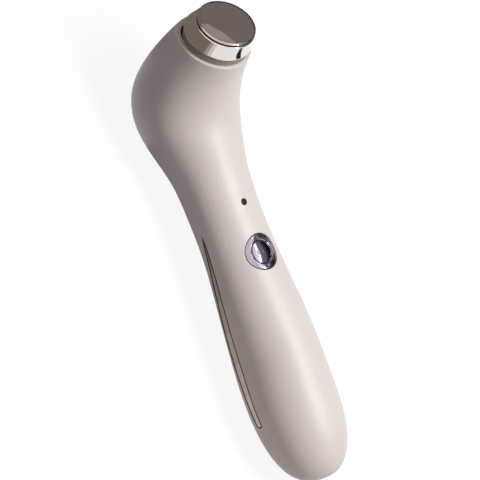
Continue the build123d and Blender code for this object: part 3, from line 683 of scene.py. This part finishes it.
# %% [markdown]
# ## Flags for the mirrors
#
# Chrome in an empty white room looks like white paint. A photographer stands dark and grey
# sheets around it, just outside the picture, and it is their mirror image that draws the
# metal's shape. Here only mirrored light sees the sheets, so they cast no shade. Two dim
# cards beside the neck work the other way round: only light that spreads sees them.

# %% Flags
def flag(name, corners, colour, strength=1.0, seen_by="glossy"):
    """A sheet that only mirrors see, or only light that spreads. Its colour is hex."""
    sheet = stage_sheet(name, corners, glowing(name + "_cloth", linear(colour), strength))
    for sight in ("camera", "diffuse", "glossy", "transmission", "shadow"):
        setattr(sheet, "visible_" + sight, sight == seen_by)
    return sheet


def standing(left, right, depth, low, high):
    """Corners of an upright sheet along X, from its limits, its place along Y and heights."""
    return [(left, depth, low), (right, depth, low), (right, depth, high), (left, depth, high)]


def facing(origin, ways, distance):
    """Corners of a sheet that stands in these directions, seen from a point in millimetres."""
    return [Vector(origin) + Vector(way).normalized() * distance for way in ways]


LENS_PIXELS, PICTURE_MIDDLE = 3113.7, 240
PLATE_FACE = Vector(HEAD_BASE) + HEAD_OUT * 9.4


def mirrored(x, y, distance):
    """Where a sheet must stand for the plate to show it at this place in the picture."""
    across_picture = PHOTO_RIGHT * (x - PICTURE_MIDDLE) + PHOTO_UP * (PICTURE_MIDDLE - y)
    sight = (across_picture / LENS_PIXELS - PHOTO_BACK).normalized()
    start = PHOTO_PLACE / MM
    spot = start + sight * ((PLATE_FACE - start).dot(HEAD_OUT) / sight.dot(HEAD_OUT))
    return spot + (sight - HEAD_OUT * 2 * sight.dot(HEAD_OUT)) * distance


# %% Sheets round the head
NEAR, DARK, GREY, DEEP, PAPER = "#786D64", "#2A2425", "#87807F", "#1C1718", "#FFFFFF"
LOW = FLOOR + 2
flag("near_floor_flag", laid(-60, 900, 30, 900, LOW), NEAR)
flag("head_floor_flag", laid(88, 900, -45, 30, LOW), NEAR)
flag("soft_edge_flag", laid(-200, -60, 60, 900, LOW), "#A69C92")
flag("softer_edge_flag", laid(-520, -200, 60, 900, LOW), "#D9D1CA")
flag("far_floor_flag", laid(85, 460, -420, -45, LOW), DARK)
flag("far_rim_flag", [(280, -160, LOW), (84, -260, LOW), (84, -260, 165), (280, -160, 120)],
     DARK)
flag("head_side_flag", [(420, -280, LOW), (420, 260, LOW), (420, 260, 230), (420, -280, 230)],
     GREY)
flag("far_flag", standing(-380, 330, -320, 20, 235), DEEP)
flag("far_high_flag", standing(-380, 330, -320, 235, 370), "#4F4C52")
# What the plate's flat face mirrors: an even grey, and a paler wedge at its lower left.
OVER_HEAD = (73.5, 0, 55)
flag("plate_flag", facing(OVER_HEAD, [
    (0.93, -0.35, -0.05), (0.35, -0.93, -0.05), (0.31, -0.80, 0.50), (0.80, -0.31, 0.50)], 380),
    GREY)
WEDGE = [(195, 23.5), (208, 24.2), (222, 32), (236, 43), (236, 62), (180, 62), (180, 23.5)]
flag("wedge_flag", [mirrored(x, y, 120) for x, y in WEDGE], "#B6ADAC")
# The dark figure in the collar: a narrow sheet on the floor, seen in the cone.
flag("figure_flag", [
    (-125, -150, LOW), (-250, -167, LOW), (-308, -160, LOW), (-180, -144, LOW),
    (-156, -130, LOW), (-82, -119, LOW), (-60, -122, LOW), (-134, -146, LOW)], "#241C1E")
# It hides the key lamp from mirrors, which would show it as a hard white bar.
flag("key_cover", [
    (-440, -310, 885), (280, -310, 885), (280, -90, 855), (-440, -90, 855)], "#FFF6F4", 1.05)

# %% Sheets for the button and the strips
BRIGHT = 2.4
flag("high_flag", facing(BUTTON, [
    (0.70, -0.62, 0.60), (-0.60, -0.62, 0.60), (-0.4, -0.40, 0.85), (0.5, -0.40, 0.85)], 470),
    "#858389")
flag("button_card", facing(BUTTON, [
    (0.62, -0.26, 0.74), (0.3, -0.20, 0.93), (0.2, -0.34, 0.92), (0.56, -0.42, 0.71)], 400),
    PAPER, BRIGHT)
flag("button_glint", facing(BUTTON, [
    (0.08, -0.61, 0.79), (0.04, -0.61, 0.79), (0.04, -0.65, 0.76), (0.08, -0.65, 0.76)], 300),
    PAPER, BRIGHT)
# The left strip mirrors the floor beside it. These narrow sheets make that grow darker
# towards the head, and a dim upright sheet stands behind them.
STEPS, STEP_WIDTH, FIRST_STEP, LEAST_LIGHT = 13, 12, -110, 0.13
for step in range(STEPS):
    start = FIRST_STEP + STEP_WIDTH * step
    light = LEAST_LIGHT + (1 - LEAST_LIGHT) * cos(radians(90 * step / (STEPS - 1))) ** 2
    flag(f"strip_{step}_flag", laid(start, start + STEP_WIDTH, 2, 60, LOW), "#F0DFD6", light)
flag("strip_screen", standing(-62, 15, 60, LOW, 38), "#5F5550")
# Two dim cards that only spread light sees: they lift the shaded side of the neck.
flag("neck_card", [(40, 22, LOW), (240, 10, LOW), (260, 200, LOW), (40, 200, LOW)],
     PAPER, strength=0.17, seen_by="diffuse")
flag("neck_screen", standing(45, 250, 120, LOW, 170), PAPER, strength=0.20, seen_by="diffuse")
hidden = [o.name for o in bpy.data.objects if o.type == "MESH" and not o.visible_camera]
print("sheets that the camera doesn't see:", len(hidden))
